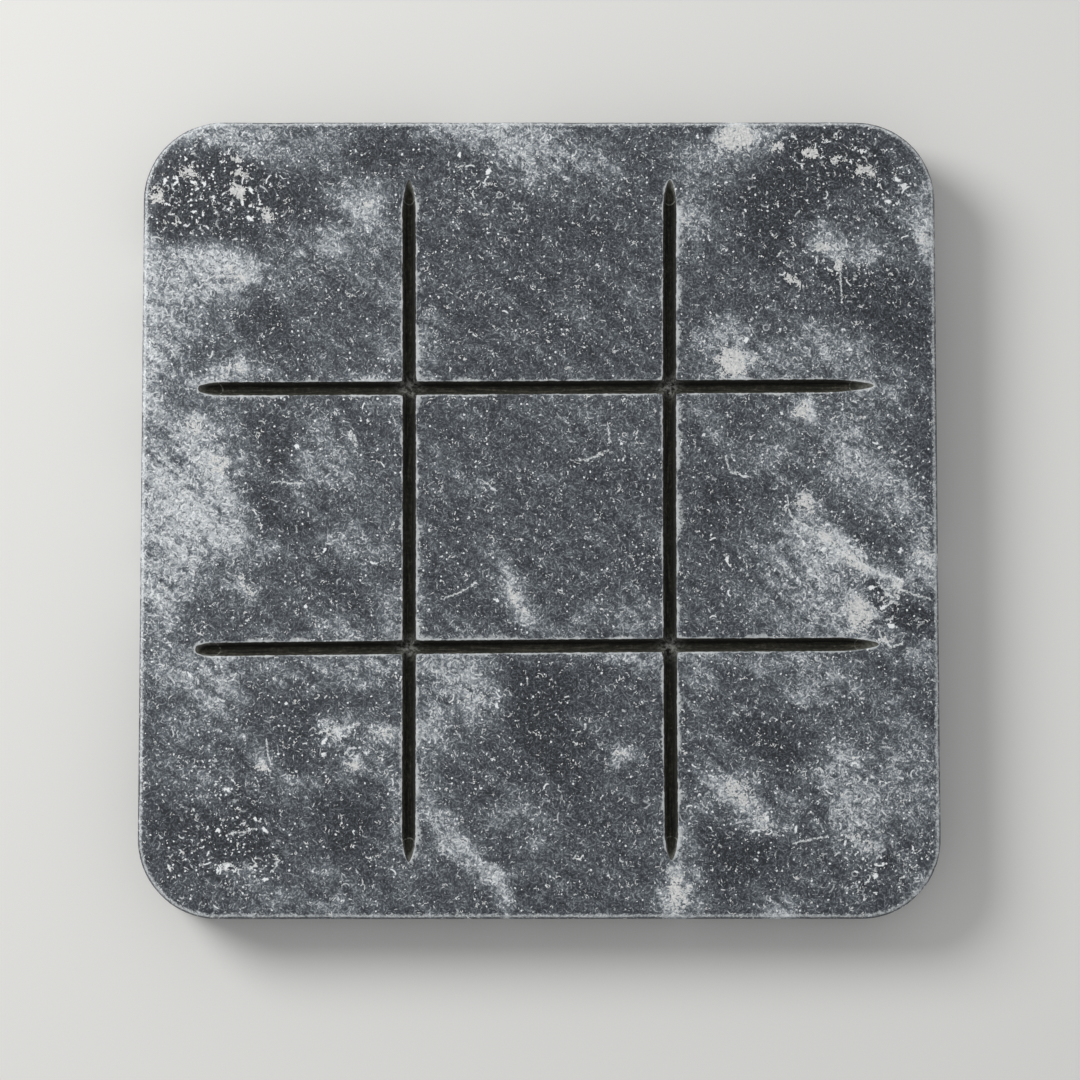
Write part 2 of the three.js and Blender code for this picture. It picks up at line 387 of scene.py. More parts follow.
stoneClouds = {
    "pale": [
        (-105, 78, 22, 8, 0, .78), (-118, 80, 10, 7, 0, .5), (-95, 76, 8, 6, -30, .6),
        (-116, 60, 10, 13, 0, .65), (-121, 52, 5, 20, 0, .5), (-110, 71, 8, 4, 0, .5),
        (-96, 47, 8, 4.5, 50, .7), (-104, 44, 6, 2, 40, .4), (-57, 99, 11, 9, 30, .45),
        (-53, 97, 4, 3, 0, .4), (-66, 87, 11, 7, 20, .42), (-50, 88, 8, 8, 0, .3),
        (-70, 117, 18, 7, 0, .25), (-92, 119, 14, 6, -5, .55), (-106, 121, 8, 3, 15, .5),
        (-5, 114, 11, 7, -20, .6), (-22, 122, 16, 4, 0, .5), (-6, 122, 12, 3, 0, .4),
        (-46, 60, 4, 25, 0, .25), (-87, 96, 4, 3, 0, .5), (-77, 90, 6, 3, -35, .5),
        (-94, 111, 4, 7, -30, .3), (-123, 70, 3, 38, 0, .45), (-92, 44.5, 11, 2.5, 0, .5),
        (-52, 44.5, 8, 3, 0, .5), (-50, 37, 8, 2.5, 0, .4), (-112, 3, 17, 12, -10, .82),
        (-117, 17, 9, 9, 0, .7), (-121, 32, 4.5, 12, 0, .5), (-101, 16, 8, 7, 0, .8),
        (-108, 28, 6.5, 5, 0, .85), (-114, -9, 14, 10, 0, .6), (-100, -6, 8, 9, 0, .6),
        (-120, -24, 6, 14, 0, .7), (-112, -24, 8, 6, 0, .45), (-91, -22, 8, 4.5, -40, .65),
        (-85, -12, 4, 3, 0, .4), (-70, 20, 7, 16, 0, .3), (-62, 12, 8, 10, 0, .25),
        (-62, -8, 7, 5, 0, .3), (-52, -12, 6, 4, 0, .3), (-65, -36, 14, 4, 0, .35),
        (-47, -30, 4, 12, 0, .25), (-97, -45, 11, 3, 0, .55), (-52, -46, 9, 4, 0, .55),
        (-101, -54, 12, 8, -20, .5), (-113, -50, 8, 8, 0, .35), (-85, -48, 12, 4, 0, .3),
        (-62, -50, 12, 7, 0, .3), (-64, -67, 7, 4, -10, .6), (-49, -68, 7, 5, 0, .6),
        (-56, -78, 5, 3.5, 0, .7), (-74, -83, 6, 5, 0, .35), (-85, -77, 3, 3, 0, .7),
        (-102, -82, 6, 6, 0, .3), (-112, -70, 8, 10, 0, .25), (-45, -92, 3, 12, 10, .4),
        (-62, -122, 8, 3, 0, .5), (-85, -121, 8, 3, 0, .4), (-70, -113, 8, 5, 0, .25),
        (-94, -113, 7, 4, -40, .3), (-7, -25, 11, 3.4, -58, .65), (-20, 5, 15, 4, -35, .2),
        (-15, -15, 14, 5, -30, .2), (25, -30, 12, 6, 0, .25), (33, -34, 6, 5, 0, .4),
        (12, -35, 5, 4, 0, .35), (5, 35, 20, 4, 0, .15), (30, 25, 8, 8, 0, .15),
        (-37, -27, 2.5, 12, 0, .4), (15, 111, 16, 4, -32, .35), (3, 116, 9, 6, 0, .35),
        (-37, 56, 2.5, 10, 0, .45), (-33, 55, 4, 10, 0, .2), (52, 113, 9, 7, 0, .35),
        (47, 95, 5, 10, 0, .6), (62, 120, 6, 6, 0, 1), (72, 123, 8, 2.5, 0, .6),
        (93, 86, 11, 4.5, -15, .6), (103, 83, 6, 4, 0, .4), (122, 88, 4, 7, 0, .8),
        (121, 100, 4, 8, 0, .5), (60, 49, 7, 6.5, 0, 1), (59, 56, 5, 4, 0, .5), (62, 62, 6, 7, 0, .25),
        (50, 52, 4, 6, 0, .4), (96, 51, 13, 7, -10, .45), (85, 57, 8, 5, 0, .3), (74, 47, 6, 5, 0, .35),
        (82, 34, 4.5, 4, 0, .85), (95, 28, 9, 8, 0, .35), (99, 20, 9, 9, -30, .4),
        (110, 12, 11, 6, -35, .45), (116, 6, 8, 5, -30, .4), (105, 40, 10, 3, 0, .4),
        (70, 17, 5, 4, 0, .3), (80, 20, 6, 5, 0, .3), (51, 30, 11, 3.5, -50, .35),
        (83, 4, 5.5, 4, -20, .9), (82, -6, 7, 5, -20, .6), (92, -8, 7, 4, -40, .7),
        (87, -9, 6, 10, 0, .35), (70, -18, 5, 5, 0, .35), (99, -15, 7, 3, -40, .85),
        (110, -18, 7, 1.5, -15, .7), (118, -17, 6, 4, 0, .5), (100, -31, 5, 7, 10, .95),
        (109, -38, 5, 2.5, 0, .6), (122, -12, 5, 9, 0, .6), (112, -22, 3, 4, 0, .6),
        (87, -25, 8, 8, 0, .3), (90, -33, 8, 5, 0, .3), (75, -10, 8, 8, 0, .25),
        (62, -44.5, 40, 2, 0, .4), (28, -44.5, 10, 2.5, 0, .4), (85, -52, 7, 5, 0, .45),
        (91, -54, 9, 5, 0, .4), (98, -50, 10, 5, -20, .3), (49, -51, 5, 7, 0, .45),
        (60, -87, 11, 6, -35, .8), (70, -95, 6, 3.5, -40, .6), (77, -91, 3, 2.5, 0, .6),
        (44, -118, 6, 8, 0, .9), (45, -100, 4, 12, 0, .4), (76, -122, 6, 5, 0, .55),
        (93, -78, 9, 8, -45, .5), (101, -87, 12, 12, 0, .5), (100, -101, 6, 5, -30, .7),
        (115, -76, 9, 9, 0, .4), (119, -90, 6, 8, 0, .35), (110, -58, 8, 5, 0, .25),
        (120, -45, 6, 4, -20, .5), (115, -115, 8, 3, 35, .4), (-33, -62, 6, 22, 0, .35),
        (-22, -54, 9, 10, 15, .65), (-25, -65, 5, 4, 0, .3), (-28, -45, 9, 3, 0, .4),
        (-34, -92, 5, 6, -45, .4), (-27, -101, 10, 6, -40, .6), (-16, -111, 9, 5, -45, .6),
        (-11, -120, 7, 5, -50, .6), (-12, -94, 5, 4, -30, .35), (24, -74, 5, 2.5, -15, .65),
        (0, -103, 2, 3, 0, .7), (5, -98, 10, 3, -30, .25), (80, -12, 14, 9, -30, .35),
        (70, -28, 16, 8, 0, .25), (98, 10, 16, 8, -35, .2), (-100, 20, 18, 24, 0, .2),
    ],
    "dark": [
        (-104, 102, 22, 16, 0, 1), (-80, 95, 14, 10, -20, .6), (-45, 118, 16, 8, 0, .5),
        (75, 100, 16, 12, 0, .65), (92, 113, 18, 10, 0, .7), (70, 86, 14, 8, 0, .4),
        (103, 70, 16, 11, -20, .5), (112, 58, 10, 8, 0, .4), (-86, 14, 10, 20, 0, .45),
        (-80, -5, 12, 8, 0, .35), (0, -60, 12, 14, 0, .8), (8, -75, 12, 10, 0, .4),
        (-73, -66, 8, 16, 0, .45), (-60, -98, 12, 14, 0, .35), (-95, -100, 14, 10, 0, .5),
        (-112, -98, 10, 14, 0, .35), (72, -70, 14, 9, -20, .45), (62, -106, 14, 10, -20, .5),
        (88, -90, 5, 6, 0, .4), (105, -24, 4, 5, 0, .8), (116, -32, 7, 6, 0, .6), (56, 5, 8, 10, 0, .5),
        (0, 72, 10, 8, 0, .3), (-88, 62, 10, 12, 0, .4), (14, 89, 8, 8, 0, .4), (-4, -118, 4, 6, 0, .5),
        (109, -106, 5, 4, 0, .6), (55, 122, 3, 3, 0, .5),
    ],
    "chalk": [
        (60, 49, 6, 6, 0, .95), (62, 120, 6, 5.5, 0, .95), (82, 34, 3, 3, 0, .75),
        (83, 4, 4.5, 3.5, -20, .85), (98, -14, 6, 2.5, -40, .7), (90, -7, 5, 2.5, -40, .5),
        (100, -31, 4.5, 6.5, 10, .9), (108, -38, 3, 1.6, 0, .5), (112, -22, 2.5, 3.5, 0, .6),
        (121, -12, 4, 6, 0, .45), (-108, 28, 4, 3.5, 0, .7), (-101, 16, 5, 4, 0, .55),
        (-91, -22, 5, 3, -40, .45), (-96, 47, 4, 3, 50, .5), (-97, 76, 6, 4, -20, .5),
        (44, -118, 4, 7, 0, .7), (62, -87, 7, 4, -35, .55), (71, -95, 5, 2.5, -40, .5),
        (-49, -68, 5, 3, 0, .45), (-64, -67, 5, 2.5, 0, .45), (-57, -79, 4, 2.5, -15, .6),
        (-85.5, -79, 2.2, 2, 0, .75), (-7, -26, 8, 2.4, -58, .5), (122, 88, 3, 5, 0, .5),
        (24, -74, 3, 1.6, -15, .5), (100, -101, 4, 3, -30, .5), (-21, -56, 5, 6, 15, .3),
        (47, 93, 2.5, 6, 0, .35), (-110.5, 108, 3.6, 2.8, -30, 1), (-121, 102, 3, 3.6, 0, .9),
        (-94.5, 102.5, 3.6, 2.3, -40, 1), (-95, 113, 2.8, 1.7, 0, 1), (-94, 109, 3.2, 2, 0, .7),
        (-86, 95, 4, 1.9, -20, .9), (-54, 98, 2, 2, 0, .7), (75, 117, 3, 2.2, 0, .8),
        (85, 114.5, 3.2, 2.4, 0, .85), (95, 112.5, 3.2, 2.2, 0, .8), (103, 108.5, 3.6, 2.5, 0, .8),
        (95.5, 79.5, 2.2, 2.4, 0, 1), (80, 74, 3, 1.8, -30, 1), (89, 85.5, 3.8, 1.7, 15, .75),
    ],
    "flecked": [
        (-103, 104, 24, 17, 0, 1), (88, 115, 22, 9, 0, 1), (112, 102, 10, 12, 0, .7),
        (-98, -106, 20, 14, 0, .8), (-8, 106, 20, 10, 0, .5), (103, -108, 20, 12, 0, .8),
        (-102, -84, 14, 14, 0, .5), (96, 82, 16, 9, -15, .6), (-58, -70, 16, 10, 0, .6),
        (62, -92, 18, 9, -30, .7), (-108, 22, 12, 12, 0, .4), (100, -15, 18, 12, -30, .5),
        (108, -32, 12, 12, 0, .6), (-25, 103, 12, 8, 0, .5), (60, 50, 12, 10, 0, .4),
        (-20, -58, 12, 16, 0, .4), (75, 62, 18, 10, 0, .35), (-112, -36, 10, 8, 0, .5),
        (-115, 95, 8, 12, 0, .6), (85, -82, 50, 50, 0, .3), (0, -85, 34, 46, 0, .24),
        (85, 0, 44, 44, 0, .24), (85, 85, 48, 48, 0, .22), (-85, 0, 40, 44, 0, .15),
        (-85, -80, 46, 46, 0, .12),
    ],
}

# Thin white veins and scratches on the face, in mm
veins = [
    [(77.5, 6), (78.5, 1), (80, -1.5), (84, -3), (90, -8), (99, -14), (103, -16), (107, -18),
     (110, -19.5), (113, -23), (117, -24.5), (122, -26)],
    [(106, -20), (107.5, -18.5), (110.5, -19), (111.5, -22), (109, -23.5), (106.5, -22), (106, -20)],
    [(107, -26), (109, -24), (111, -26), (109, -28)],
    [(106, -35), (106.5, -38), (110, -41), (113, -40)],
    [(-84.8, -70.5), (-84.6, -74), (-83.6, -77)],
    [(-96, -99), (-92, -98.5), (-88.5, -97.5)],
    [(-99, -110), (-97, -108), (-94, -109.5), (-93, -112)],
    [(-89, -107), (-87.5, -109), (-90, -109.5)],
    [(-82, -107), (-80.5, -107.5), (-83, -110.5)],
    [(-68, -67.5), (-64, -66), (-61, -66.5), (-57, -65.5)],
    [(-64, -66), (-62, -70)],
    [(58.5, 18.5), (59.5, 14.5), (60.5, 13.5)],
    [(62, 14), (64, 12.5), (65.5, 12.5)],
    [(94.5, 80), (95, 74), (95.3, 68)],
    [(-17.5, 11), (-14, 8.5)],
    [(-16.5, 8.5), (-15, 11)],
    [(12, 17.5), (16, 18), (21, 20.5)],
    [(21.6, 28.7), (22.2, 23.5)],
    [(-29, -25.5), (-24, -23.5), (-20, -21)],
    [(79.5, -102), (84, -101), (89, -100.2)],
    [(-82.8, 10.9), (-78, 10.5), (-74, 10.2)],
    [(-60.2, 26.2), (-59, 27), (-56.8, 22.6), (-57.6, 22), (-60.2, 26.2)],
]

# how far the white bruise and painted highlight reach past a groove's edge, in mm: right or above, then
# left or below
bruiseAndHighlightReach = {"y": (2.6, 1.1), "x": (1.5, 1.0)}
crossingReach = 3.0  # mm over which the dust at a crossing fades
farAway = 99.0  # mm, for stone with no groove or vein near it

cloudDrift = {
    "seed": 56,
    "slow": (14, 4),  # mm: size of the noise that pulls the clouds about, and its reach
    "quick": (4.5, 3),
    "chalkShare": 0.4,  # chalk spots drift less
    "core": 0.62,  # weight of the clouds, and of the haze round them
    "haze": 0.42,
}


def spread(x, y, patches):  # share of the stone that a set of soft patches covers
    bare = np.ones_like(x)
    for middleX, middleY, long, wide, turn, strength in patches:
        c, s = math.cos(math.radians(turn)), math.sin(math.radians(turn))
        dx, dy = x - middleX, y - middleY
        away = np.hypot((dx * c + dy * s) / long, (dy * c - dx * s) / wide)
        bare *= 1 - strength * (1 - fade(0.3, 1.3, away))
    return 1 - bare


def grooveCoats(x, y):  # places against the nearest groove, in mm
    mouth, bruiseAndHighlight = np.full_like(x, farAway), np.ones_like(x)  # from its edge, and the reach of its bruise and painted highlight
    side, tip = np.full_like(x, farAway), np.zeros_like(x)  # from its middle line, and from its tip
    for groove in grooves:
        at, across = (x, y) if groove["along"] == "x" else (y, x)
        start, end = grooveEnds(groove)
        off = across - lineOf(groove, at)
        past = np.maximum(np.maximum(start - at, at - end), 0)
        away = np.where(past > 0, np.hypot(off, past), np.abs(off) - mouthShare(groove, at) * rimHalf)
        closer = away < mouth
        bruiseAndHighlight[closer] = np.where(off > 0, *bruiseAndHighlightReach[groove["along"]])[closer]
        mouth[closer] = away[closer]
        inner = np.abs(off) < np.abs(side)
        side[inner] = off[inner]
        tip[inner] = np.minimum(at - start, end - at)[inner]
    return {"mouth": mouth, "bruiseAndHighlight": bruiseAndHighlight, "side": side, "tip": tip}


def veinCoats(x, y):  # mm from the nearest vein, with a sign for its side and without one
    offset, near = np.full_like(x, farAway), np.full_like(x, farAway)
    stretches = [pair for vein in veins for pair in zip(vein, vein[1:])]
    for (startX, startY), (endX, endY) in stretches:
        length = math.hypot(endX - startX, endY - startY)
        wayX, wayY = (endX - startX) / length, (endY - startY) / length
        along = np.clip((x - startX) * wayX + (y - startY) * wayY, 0, length)
        away = np.hypot(x - startX - along * wayX, y - startY - along * wayY)
        closer = away < near
        left = np.sign((y - startY) * wayX - (x - startX) * wayY)
        offset[closer] = (away * left)[closer]
        near[closer] = away[closer]
    return {"vein": offset, "veinNear": near}


def crossingShare(x, y):  # 1 in the middle of a crossing, fading over a few mm
    half = grooveSize["pitch"] / 2
    away = np.hypot(np.abs(x) - half, np.abs(y) - half)
    return np.exp(-(away / crossingReach) ** 2)


def unfolded(x, y, z):  # the stone's skin laid flat: the sides folded out round the face
    radius = slabSize["cornerRadius"] / mm
    overX = np.maximum(np.abs(x) - (boardHalf["x"] - radius), 0)
    overY = np.maximum(np.abs(y) - (boardHalf["y"] - radius), 0)
    length = np.maximum(np.hypot(overX, overY), 1e-6)
    near = 1 - fade(1.5, 4, outlineDistance(x, y))
    under = z < slabLow.z / mm + 0.01
    drop = (faceHeight / mm - z) * np.where(under, 1, near)
    outX = np.where(under, x / boardHalf["x"], np.sign(x) * overX / length)
    outY = np.where(under, y / boardHalf["y"], np.sign(y) * overY / length)
    return np.stack([x + outX * drop, y + outY * drop, np.zeros_like(x)], axis=1)


def paintClouds(slab):
    mesh = slab.data
    places = placesOf(slab)
    driftX, driftY = np.empty(len(places)), np.empty(len(places))
    slowSize, slowReach = cloudDrift["slow"]
    quickSize, quickReach = cloudDrift["quick"]
    noise.seed_set(cloudDrift["seed"])  # noise_vector starts from the clock otherwise
    for i, place in enumerate(places):  # wisps: the clouds' edges are pulled about by noise
        slow = noise.noise_vector(Vector(place / slowSize))
        quick = noise.noise_vector(Vector(place / quickSize + 40))
        driftX[i] = slowReach * slow.x + quickReach * quick.x
        driftY[i] = slowReach * slow.y + quickReach * quick.y
    x, y, z = places.T
    coats = {name: spread(x + driftX, y + driftY, patches) for name, patches in stoneClouds.items()}
    share = cloudDrift["chalkShare"]
    coats["chalk"] = spread(x + share * driftX, y + share * driftY, stoneClouds["chalk"])
    haze = [(*middle, 2 * long, 2 * wide, turn, strength / 2)
            for *middle, long, wide, turn, strength in stoneClouds["pale"]]
    haze = spread(x + driftX, y + driftY, haze)
    coats["pale"] = cloudDrift["core"] * coats["pale"] + cloudDrift["haze"] * haze
    coats.update(grooveCoats(x, y))
    coats.update(veinCoats(x, y))
    below = z < faceHeight / mm - 2 * grooveSize["depth"]  # grooves and veins stay off the underside
    for name in ("mouth", "vein", "veinNear"):
        coats[name][below] = farAway
    coats["crossing"] = crossingShare(x, y)
    coats["outline"] = outlineDistance(x, y)
    for name, values in coats.items():
        coat = mesh.attributes.new(name, "FLOAT", "POINT")
        coat.data.foreach_set("value", values.astype(np.float32))
    skin = mesh.attributes.new("skin", "FLOAT_VECTOR", "POINT")
    skin.data.foreach_set("vector", unfolded(x, y, z).astype(np.float32).ravel())


# Shader helpers: each adds a node and hands back its output

def srgb(red, green, blue):
    parts = [channel / 255 for channel in (red, green, blue)]
    return [p / 12.92 if p <= 0.04045 else ((p + 0.055) / 1.055) ** 2.4 for p in parts] + [1]


def addNode(tree, kind, inputs, **settings):
    made = tree.nodes.new("ShaderNode" + kind)
    for name, value in settings.items():
        setattr(made, name, value)
    for name, value in inputs.items():
        if isinstance(value, bpy.types.NodeSocket):
            tree.links.new(value, made.inputs[name])
        else:
            made.inputs[name].default_value = value
    return made


def maths(tree, operation, a, b=0.0, clamp=False):
    return addNode(tree, "Math", {0: a, 1: b}, operation=operation, use_clamp=clamp).outputs[0]


def times(tree, first, *others):
    for other in others:
        first = maths(tree, "MULTIPLY", first, other)
    return first


def most(tree, first, *others):
    for other in others:
        first = maths(tree, "MAXIMUM", first, other)
    return first


def vectors(tree, operation, a, b):
    return addNode(tree, "VectorMath", {0: a, 1: b}, operation=operation)


def ease(tree, value, low, high, start=0.0, end=1.0):
    inputs = {"Value": value, "From Min": low, "From Max": high, "To Min": start, "To Max": end}
    return addNode(tree, "MapRange", inputs, interpolation_type="SMOOTHSTEP").outputs["Result"]


def noiseAt(tree, place, scale, detail=2.0, roughness=0.5, shift=0.0):
    if shift:
        place = vectors(tree, "ADD", place, (shift, -shift, shift)).outputs[0]
    inputs = {"Vector": place, "Scale": scale, "Detail": detail, "Roughness": roughness}
    return addNode(tree, "TexNoise", inputs).outputs[0]


def mixColor(tree, factor, a, b):
    mixed = addNode(tree, "Mix", {"Factor": factor}, data_type="RGBA")
    for socket, value in ((mixed.inputs[6], a), (mixed.inputs[7], b)):
        if isinstance(value, bpy.types.NodeSocket):
            tree.links.new(value, socket)
        else:
            socket.default_value = value
    return mixed.outputs[2]


def toneRamp(tree, value, stops):
    made = addNode(tree, "ValToRGB", {"Fac": value})
    ramp = made.color_ramp
    while len(ramp.elements) < len(stops):
        ramp.elements.new(0.5)
    for element, (position, tone) in zip(ramp.elements, stops):
        element.position = position
        element.color = srgb(*tone)
    return made.outputs["Color"]


def attributeOf(tree, name, output="Fac"):
    return addNode(tree, "Attribute", {}, attribute_name=name).outputs[output]


def newGroup(name, inputs, outputs):
    group = bpy.data.node_groups.new(name, "ShaderNodeTree")
    for label, kind, value in inputs:
        socket = group.interface.new_socket(label, in_out="INPUT", socket_type=kind)
        if value is not None:
            socket.default_value = value
    for label in outputs:
        group.interface.new_socket(label, in_out="OUTPUT", socket_type="NodeSocketFloat")
    return group, group.nodes.new("NodeGroupInput"), group.nodes.new("NodeGroupOutput")


def placeGroup(tree, group, inputs):
    return addNode(tree, "Group", inputs, node_tree=group).outputs[0]


def newMaterial(name):  # with its shader and its place in mm
    material = bpy.data.materials.new(name)
    material.use_nodes = True
    tree = material.node_tree
    place = addNode(tree, "TexCoord", {}).outputs["Object"]
    place = addNode(tree, "VectorMath", {0: place, "Scale": 1 / mm}, operation="SCALE").outputs[0]
    return material, tree, tree.nodes["Principled BSDF"], place


# Curled strokes: a short bent line through the middle of each cell of a Voronoi pattern, lengths in mm

def makeStrokes():
    group, given, out = newGroup("curled_strokes", [
        ("Place", "NodeSocketVector", None),
        ("Spacing", "NodeSocketFloat", 1.6),
        ("Length", "NodeSocketFloat", 1.8),
        ("Width", "NodeSocketFloat", 0.3),
        ("Curl", "NodeSocketFloat", 0.7),  # radius of the tightest bend
        ("Share", "NodeSocketFloat", 0.8),  # of the cells that hold a stroke
        ("Shift", "NodeSocketFloat", 0.0),
    ], ["Mask"])
    shift = {"X": given.outputs["Shift"], "Y": given.outputs["Shift"]}
    shift = addNode(group, "CombineXYZ", shift).outputs[0]
    moved = vectors(group, "MULTIPLY", given.outputs["Place"], (1, 1, 0)).outputs[0]
    moved = vectors(group, "ADD", moved, shift).outputs[0]
    scale = maths(group, "DIVIDE", 1.0, given.outputs["Spacing"])
    cells = addNode(group, "TexVoronoi", {"Vector": moved, "Scale": scale}, voronoi_dimensions="2D")
    draw = addNode(group, "SeparateColor", {"Color": cells.outputs["Color"]})
    local = vectors(group, "SUBTRACT", moved, cells.outputs["Position"]).outputs[0]
    turn = times(group, draw.outputs["Red"], 2 * math.pi)
    radius = times(group, given.outputs["Curl"], ease(group, draw.outputs["Green"], 0.0, 1.0, 1.0, 4.0))
    bendX = times(group, maths(group, "COSINE", turn), radius)
    bendY = times(group, maths(group, "SINE", turn), radius)
    bend = addNode(group, "CombineXYZ", {"X": bendX, "Y": bendY}).outputs[0]
    away = vectors(group, "DISTANCE", local, bend).outputs["Value"]
    off = maths(group, "ABSOLUTE", maths(group, "SUBTRACT", away, radius))
    line = ease(group, maths(group, "DIVIDE", off, given.outputs["Width"]), 0.2, 0.8, 1.0, 0.0)
    along = vectors(group, "LENGTH", local, (0, 0, 0)).outputs["Value"]
    trim = ease(group, maths(group, "FRACT", times(group, draw.outputs["Blue"], 13.7)), 0.0, 1.0, 0.4, 1.0)
    length = times(group, given.outputs["Length"], trim)
    ends = ease(group, maths(group, "DIVIDE", along, length), 0.32, 0.5, 1.0, 0.0)
    kept = maths(group, "LESS_THAN", draw.outputs["Blue"], given.outputs["Share"])
    luck = maths(group, "FRACT", times(group, draw.outputs["Green"], 7.3))
    bright = ease(group, times(group, luck, luck), 0.0, 1.0, 0.35, 1.0)
    group.links.new(times(group, line, ends, kept, bright), out.inputs["Mask"])
    return group


# Loose grains: oval specks in a share of the cells of a Voronoi pattern, lengths in mm

def makeGrains():
    group, given, out = newGroup("loose_grains", [
        ("Place", "NodeSocketVector", None),
        ("Spacing", "NodeSocketFloat", 2.0),
        ("Size", "NodeSocketFloat", 0.3),
        ("Stretch", "NodeSocketFloat", 0.3),  # 0 is round
        ("Share", "NodeSocketFloat", 0.3),
    ], ["Mask"])
    scale = maths(group, "DIVIDE", 1.0, given.outputs["Spacing"])
    flat = vectors(group, "MULTIPLY", given.outputs["Place"], (1, 1, 0)).outputs[0]
    cells = addNode(group, "TexVoronoi", {"Vector": flat, "Scale": scale}, voronoi_dimensions="2D")
    draw = addNode(group, "SeparateColor", {"Color": cells.outputs["Color"]})
    local = vectors(group, "SUBTRACT", flat, cells.outputs["Position"]).outputs[0]
    turn = times(group, draw.outputs["Blue"], 2 * math.pi)
    facing = {"X": maths(group, "COSINE", turn), "Y": maths(group, "SINE", turn)}
    facing = addNode(group, "CombineXYZ", facing).outputs[0]
    along = vectors(group, "DOT_PRODUCT", local, facing).outputs["Value"]
    square = vectors(group, "DOT_PRODUCT", local, local).outputs["Value"]
    away = maths(group, "SUBTRACT", square, times(group, along, along, given.outputs["Stretch"]))
    away = maths(group, "SQRT", maths(group, "MAXIMUM", away, 0.0))
    reach = times(group, given.outputs["Size"], ease(group, draw.outputs["Green"], 0.0, 1.0, 0.4, 1.6))
    speck = ease(group, maths(group, "DIVIDE", away, reach), 0.6, 1.1, 1.0, 0.0)
    kept = maths(group, "LESS_THAN", draw.outputs["Red"], given.outputs["Share"])
    group.links.new(times(group, speck, kept), out.inputs["Mask"])
    return group


strokes = makeStrokes()
grains = makeGrains()

# The felt of fibres in the stone: spacing, length, width, tightest bend, share, shift
hairLayers = [(1.0, 1.4, 0.29, 0.6, 1, 0), (1.35, 2.0, 0.31, 0.9, 1, 170), (1.9, 2.9, 0.35, 1.3, 1, 310)]
partingLayers = [(1.2, 1.7, 0.38, 0.7, 0.9, 710), (2.0, 2.8, 0.45, 1.2, 0.9, 530)]


def layStrokes(tree, place, spacing, length, width, curl, share, shift):
    return placeGroup(tree, strokes, {
        "Place": place, "Spacing": spacing, "Length": length, "Width": width,
        "Curl": curl, "Share": share, "Shift": shift,
    })


# Marble: clouded blue-grey felt of fine fibres, chalk spots, bruised rims and brown-black grooves, with
# painted highlights on the rims and the outer edge, and painted shade and light in the grooves

marbleTone = {
    "stone": [(0.0, (36, 39, 44)), (0.2, (56, 60, 66)), (0.36, (74, 80, 86)), (0.6, (114, 121, 127)),
              (1.0, (184, 189, 192))],
    "fibre": [(0.0, (112, 118, 124)), (0.32, (158, 164, 169)), (0.65, (218, 221, 223)),
              (1.0, (240, 241, 241))],
    "parting": [(0.1, (36, 39, 44)), (0.8, (80, 86, 92))],
    "gap": (66, 71, 77),
    "strand": (232, 234, 234),
    "fleck": (240, 242, 242),
    "chalk": [(0.3, (176, 178, 178)), (0.68, (232, 231, 227))],
    # partly bruised stone, partly painted highlight on the groove lips
    "bruiseAndHighlight": (210, 213, 213),
    "vein": (222, 224, 223),
    # partly wear, partly painted highlight on the round-over of the outer edge
    "wornEdgeAndHighlight": (218, 221, 222),
    "grooveFloor": [(0.36, (16, 16, 12)), (0.5, (37, 36, 29)), (0.66, (82, 79, 67))],
    "grooveDust": (110, 108, 98),
    # painted shade on one flank of each groove
    "grooveFlankPaintedShade": (13, 13, 11),
    # painted light on the shallow floor where a groove runs out
    "runOutPaintedLight": [(0.35, (70, 70, 64)), (0.65, (128, 129, 124))],
    # partly dust, partly painted highlight, on the arc where the wheel was lifted out
    "liftArcHighlight": (150, 150, 142),
    "crossingDust": (138, 139, 134),
}

marbleLook = {
    "slant": math.radians(-38),  # way of the drift in the stone, and how far it is drawn out
    "drawnOut": 3.2,
    "darkWeight": 0.55,  # of the dark patches against the pale ones
    "lift": 0.255,
    "gain": 0.82,
    "bend": 0.6,  # mm by which the felt and the bold flecks waver
    "jag": 1.8,
    "liftArcHighlight": 7.6,  # mm from a groove's tip to the arc where the wheel was lifted out
    "relief": 0.12 * mm,
}

# strokes over the felt: spacing, length, width, tightest bend
marbleStroke = {
    "gap": (2.1, 2.8, 0.44, 0.7),
    "strand": (2.0, 3.0, 0.44, 0.8),
    "bold": (2.5, 2.8, 0.44, 0.7),
    "curl": (3.8, 4.6, 0.42, 0.9),
}


def layTone(tree, tone, mask, name, value=None):  # a colour, or a ramp on a value, laid over the tone
    colours = marbleTone[name]
    over = srgb(*colours) if value is None else toneRamp(tree, value, colours)
    return mixColor(tree, mask, tone, over)


def pulled(tree, skin, base, scale, detail, reach):  # places moved about by noise on the stone's skin
    pull = addNode(tree, "TexNoise", {"Vector": skin, "Scale": scale, "Detail": detail}).outputs["Color"]
    inputs = {0: pull, 1: (reach, reach, 0), 2: base}
    return addNode(tree, "VectorMath", inputs, operation="MULTIPLY_ADD").outputs[0]


def aboutZero(tree, field, weight):
    return times(tree, maths(tree, "SUBTRACT", field, 0.5), weight)


